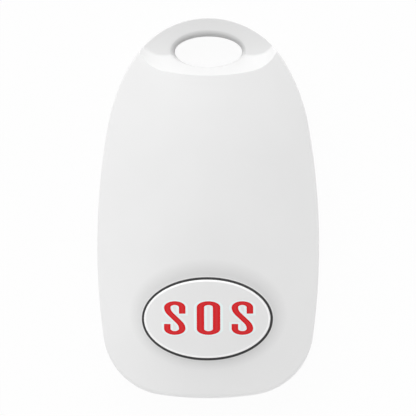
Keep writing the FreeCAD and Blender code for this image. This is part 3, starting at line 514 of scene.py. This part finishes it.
inks = {
    "redInk": {
        "body": (0.67, 0.036, 0.042), "edge": (0.69, 0.004, 0.008), "roughness": (0.35, 0.45),
        "gloss": 0.15,
    },
    "paleInk": {
        "body": (0.84, 0.96, 0.96), "edge": (0.84, 0.94, 0.94), "roughness": (0.4, 0.5),
        "gloss": 0.4,
    },
}

finishes = {}
for make, kinds in (
    (makePlastic, plastics), (makeRubber, rubbers), (makeLaminate, laminates),
    (makeMetal, metals), (makeInk, inks),
):
    for name, values in kinds.items():
        finishes[name] = make(name, **values)
print("materials made:", len(finishes))

nodeFinishes = {
    "front_shell": "casePlastic", "rear_shell": "casePlastic", "alarm_button": "capPlastic",
    "case_seal": "sealRubber", "button_seal": "bandRubber", "circuit_board": "boardLaminate",
    "switch_base": "blackResin", "switch_cover": "switchSteel", "switch_dome": "domeSteel",
    "switch_plunger": "blackResin", "switch_terminals": "tinnedLead",
    "encoder_chip": "blackResin", "radio_transistor": "blackResin",
    "saw_resonator": "platedLid", "status_light": "clearResin",
    "chip_capacitors": "tanCeramic", "chip_resistors": "blackGlaze",
    "battery_pad": "giltContact", "coin_cell": "cellSteel", "battery_clip": "clipSteel",
    "case_screws": "headZinc", "board_screws": "screwZinc", "antenna_coil": "coilCopper",
}
for name, finish in nodeFinishes.items():
    node = frame["nodes"][name]
    node.data.materials.clear()
    node.data.materials.append(finishes[finish])
print("nodes finished:", len(nodeFinishes))


# printed letters on the button, drawn as one stroke each and then widened, with sizes in mm

letter = {
    "height": 5.29, "stroke": 0.58, "pitch": 5.33, "shiftX": 0.255, "shiftY": 0.13,
    "bendReach": 0.676, "bendWiden": 1.75, "bendTurn": 2.0,
    "upperTip": 1.95, "lowerTip": 1.7,
    "ringReach": 0.635, "ringWiden": 2.0,
    "border": 0.23, "tipBorder": 0.30,
    "paleLift": 0.02, "redLift": 0.05, "film": 0.015, "besideEdge": 0.6,
    "tipSteps": 4, "bendSteps": 14, "turnSteps": 5, "spineSteps": 6, "sideSteps": 8,
    "merge": 0.001, "cuts": 3, "above": 1.0, "smoothAngle": 40,
}


def startStroke(name, x, y, width):
    deselectAll()
    bpy.ops.mesh.primitive_plane_add(size=width * mm, location=(x * mm, y * mm, 0))
    stroke = bpy.context.object
    stroke.name = name
    bpy.ops.object.transform_apply(location=True, rotation=False, scale=False)
    bpy.ops.object.mode_set(mode="EDIT")
    bpy.ops.mesh.select_mode(type="VERT")
    # the far edge of the plane is dropped, and the near one is drawn along the stroke
    selectVerts(stroke, lambda vert: vert.co.y > y * mm)
    bpy.ops.mesh.delete(type="VERT")
    bpy.ops.mesh.select_all(action="SELECT")
    bpy.ops.transform.translate(value=(0, width / 2 * mm, 0))
    return stroke


def drawStraight(dx, dy, steps):
    move = (dx / steps * mm, dy / steps * mm, 0)
    for step in range(steps):
        bpy.ops.mesh.extrude_edges_move(TRANSFORM_OT_translate={"value": move})


def drawBend(x, y, degrees, steps):
    # the operator turns clockwise, so the sign is changed
    bpy.ops.mesh.spin(
        steps=steps, angle=-math.radians(degrees), center=(x * mm, y * mm, 0), axis=(0, 0, 1)
    )


def drawDoubleBend(name, width, extra):
    reach = letter["bendReach"]
    bowl = (letter["height"] - letter["stroke"]) / 2 - reach
    turn = letter["bendTurn"]
    # the straight spine touches both bends, which have their centres on opposite sides of it
    across = reach - turn
    between = math.hypot(2 * across, 2 * bowl)
    spine = math.sqrt(between**2 - (2 * turn) ** 2)
    angle = math.asin(2 * turn / between) + math.atan2(across, bowl)
    upperTip = letter["height"] / 2 - letter["upperTip"] - extra
    lowerTip = letter["lowerTip"] - letter["height"] / 2 + extra
    stroke = startStroke(name, reach, upperTip, width)
    drawStraight(0, bowl - upperTip, letter["tipSteps"])
    drawBend(0, bowl, 180, letter["bendSteps"])
    drawBend(-across, bowl, math.degrees(angle), letter["turnSteps"])
    drawStraight(spine * math.sin(angle), -spine * math.cos(angle), letter["spineSteps"])
    drawBend(across, -bowl, -math.degrees(angle), letter["turnSteps"])
    drawBend(0, -bowl, -180, letter["bendSteps"])
    drawStraight(0, lowerTip + bowl, letter["tipSteps"])
    return stroke


# the ring is closed by its own ends and has no tips, so nothing extra is cut off them
def drawRing(name, width, extra):
    reach = letter["ringReach"]
    bowl = (letter["height"] - letter["stroke"]) / 2 - reach
    stroke = startStroke(name, reach, -bowl, width)
    for side in (1, -1):
        drawStraight(0, side * 2 * bowl, letter["sideSteps"])
        drawBend(0, side * bowl, 180, letter["bendSteps"])
    return stroke


def markEdges(stroke):
    # 1 on the outline of the flat stroke, less beside it and 0 along the middle
    mesh = bmesh.new()
    mesh.from_mesh(stroke.data)
    values = []
    for vert in mesh.verts:
        beside = any(edge.other_vert(vert).is_boundary for edge in vert.link_edges)
        values.append(1.0 if vert.is_boundary else letter["besideEdge"] * beside)
    mesh.free()
    depth = stroke.data.attributes.new("edgeShare", "FLOAT", "POINT")
    depth.data.foreach_set("value", values)


def printLetter(stroke, place, widen, lift, ink):
    # joined where the stroke closes, widened, cut finer so that it can follow the crown, and moved
    bpy.ops.mesh.select_all(action="SELECT")
    bpy.ops.mesh.remove_doubles(threshold=letter["merge"] * mm)
    bpy.ops.transform.resize(value=(widen, 1, 1), center_override=(0, 0, 0))
    bpy.ops.mesh.subdivide(number_cuts=letter["cuts"])
    bpy.ops.transform.translate(value=place)
    bpy.ops.mesh.normals_make_consistent(inside=False)
    bpy.ops.object.mode_set(mode="OBJECT")
    makeActive(stroke)
    markEdges(stroke)
    wrap = stroke.modifiers.new("layOnCap", "SHRINKWRAP")
    wrap.target = frame["nodes"]["alarm_button"]
    wrap.wrap_method = "PROJECT"
    wrap.use_project_z = True
    wrap.use_negative_direction = True
    wrap.use_positive_direction = False
    wrap.offset = lift * mm
    bpy.ops.object.modifier_apply(modifier=wrap.name)
    film = stroke.modifiers.new("inkFilm", "SOLIDIFY")
    film.thickness = letter["film"] * mm
    film.offset = -1
    bpy.ops.object.modifier_apply(modifier=film.name)
    bpy.ops.object.shade_smooth_by_angle(angle=math.radians(letter["smoothAngle"]))
    stroke.data.materials.clear()
    stroke.data.materials.append(ink)
    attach(stroke, "button")


def makeLetters():
    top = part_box("alarm_button")[1][2] + letter["above"] * mm
    shift = Vector((letter["shiftX"] * mm, letter["shiftY"] * mm, 0))
    middle = centreOf("alarm_button") + shift
    paleWidth = letter["stroke"] + 2 * letter["border"]
    layers = (
        ("paleUnderprint", paleWidth, letter["tipBorder"], letter["paleLift"], "paleInk"),
        ("redLetter", letter["stroke"], 0, letter["redLift"], "redInk"),
    )
    doubleBend = (drawDoubleBend, letter["bendWiden"])
    shapes = (doubleBend, (drawRing, letter["ringWiden"]), doubleBend)
    for layer, width, extra, lift, ink in layers:
        for number, (draw, widen) in enumerate(shapes):
            place = (middle.x + (number - 1) * letter["pitch"] * mm, middle.y, top)
            stroke = draw(f"{layer}{number + 1}", width, extra)
            printLetter(stroke, place, widen, lift, finishes[ink])


makeLetters()
print("letters printed")


# floor, light and camera

floorPaper = {
    "width": 1.6, "below": 0.02, "tone": 0.9, "roughness": 0.9, "glowShare": 0.94, "nearby": 1.0,
}


def makeFloor():
    deselectAll()
    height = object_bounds()[0][2] - floorPaper["below"] * mm
    bpy.ops.mesh.primitive_plane_add(size=floorPaper["width"], location=(0, 0, height))
    floor = bpy.context.object
    floor.name = "floor"
    mat, nodes, links, shader = newMaterial("floorPaper")
    shader.inputs["Base Color"].default_value = (*grey(floorPaper["tone"]), 1)
    shader.inputs["Roughness"].default_value = floorPaper["roughness"]
    shader.inputs["Specular IOR Level"].default_value = 0.0
    glow = nodes.new("ShaderNodeEmission")
    glow.inputs["Strength"].default_value = 1.0
    share = addMath(
        nodes, links, "MULTIPLY", addSeenDirectly(nodes, links), floorPaper["glowShare"]
    )
    paper = addShaderMix(nodes, links, share, shader.outputs["BSDF"], glow.outputs["Emission"])
    # clear from below, and for light on its way to what lies on it, so that the back can be seen
    side = nodes.new("ShaderNodeNewGeometry")
    clear = nodes.new("ShaderNodeBsdfTransparent")
    touching = addMath(
        nodes, links, "LESS_THAN", addPath(nodes, "Ray Length"), floorPaper["nearby"] * mm
    )
    hidden = addMath(nodes, links, "MAXIMUM", side.outputs["Backfacing"], touching)
    surface = addShaderMix(nodes, links, hidden, paper, clear.outputs["BSDF"])
    links.new(surface, nodes["Material Output"].inputs["Surface"])
    floor.data.materials.append(mat)


# strengths of the sky overhead and low down, how high the bright part reaches, how much its ends
# add, what share comes from under the floor, and the lamp
studio = {
    "skyStrength": 0.595, "horizonStrength": 1.29, "horizonTop": 0.5, "endBoost": 0.4,
    "underShare": 0.6, "underEnd": -0.1,
    "sunStrength": 1.09, "sunAngle": 80.0, "tiltAlongY": 50.0, "tiltAcross": -17.0,
}


def makeSky():
    # the sky is brighter low down, as in a tent of white cloth
    world = bpy.data.worlds.new("studioSky")
    bpy.context.scene.world = world
    world.use_nodes = True
    nodes, links = world.node_tree.nodes, world.node_tree.links
    up = addAxis(nodes, links, "Z", "Generated")
    along = addAxis(nodes, links, "Y", "Generated")
    strength = addRange(
        nodes, links, up, studio["horizonStrength"], studio["skyStrength"], end=studio["horizonTop"]
    )
    # and at its two ends, where its lamps stand
    ends = addMath(nodes, links, "MULTIPLY", along, along)
    boost = addMath(nodes, links, "MULTIPLY_ADD", ends, studio["endBoost"], 1.0)
    tent = addMath(nodes, links, "MULTIPLY", strength, boost)
    # less comes from under the floor
    under = addRange(nodes, links, up, studio["underShare"], start=studio["underEnd"], end=0)
    tent = addMath(nodes, links, "MULTIPLY", tent, under)
    sky = nodes["Background"]
    sky.inputs["Color"].default_value = (1, 1, 1, 1)
    links.new(tent, sky.inputs["Strength"])
    backdrop = nodes.new("ShaderNodeBackground")
    backdrop.inputs["Color"].default_value = (1, 1, 1, 1)
    backdrop.inputs["Strength"].default_value = 1.0
    surface = addShaderMix(
        nodes, links, addSeenDirectly(nodes, links),
        sky.outputs["Background"], backdrop.outputs["Background"],
    )
    links.new(surface, nodes["World Output"].inputs["Surface"])


def makeSun():
    data = bpy.data.lights.new("softKey", "SUN")
    data.energy = studio["sunStrength"]
    data.angle = math.radians(studio["sunAngle"])
    sun = bpy.data.objects.new("softKey", data)
    bpy.context.collection.objects.link(sun)
    towards = Vector((
        math.sin(math.radians(studio["tiltAcross"])),
        math.sin(math.radians(studio["tiltAlongY"])),
        math.cos(math.radians(studio["tiltAlongY"])),
    ))
    sun.rotation_euler = towards.to_track_quat("Z", "Y").to_euler()


overhead = {
    "height": 2.6, "toTheRight": 0.06, "frameWidth": 0.0657, "focusHeight": 0.006,
    "sensor": 36.0, "nearest": 0.01,
}


def makeCamera():
    data = bpy.data.cameras.new("overheadCamera")
    data.sensor_width = overhead["sensor"]
    away = math.hypot(overhead["height"], overhead["toTheRight"])
    data.lens = overhead["sensor"] * away / overhead["frameWidth"]
    data.clip_start = overhead["nearest"]
    camera = bpy.data.objects.new("overheadCamera", data)
    camera.location = (overhead["toTheRight"], 0, overhead["focusHeight"] + overhead["height"])
    camera.rotation_euler = (0, math.atan2(overhead["toTheRight"], overhead["height"]), 0)
    bpy.context.collection.objects.link(camera)
    bpy.context.scene.camera = camera


makeFloor()
makeSky()
makeSun()
makeCamera()
bpy.context.scene.view_settings.view_transform = "Standard"
print("stage, lights and camera set")
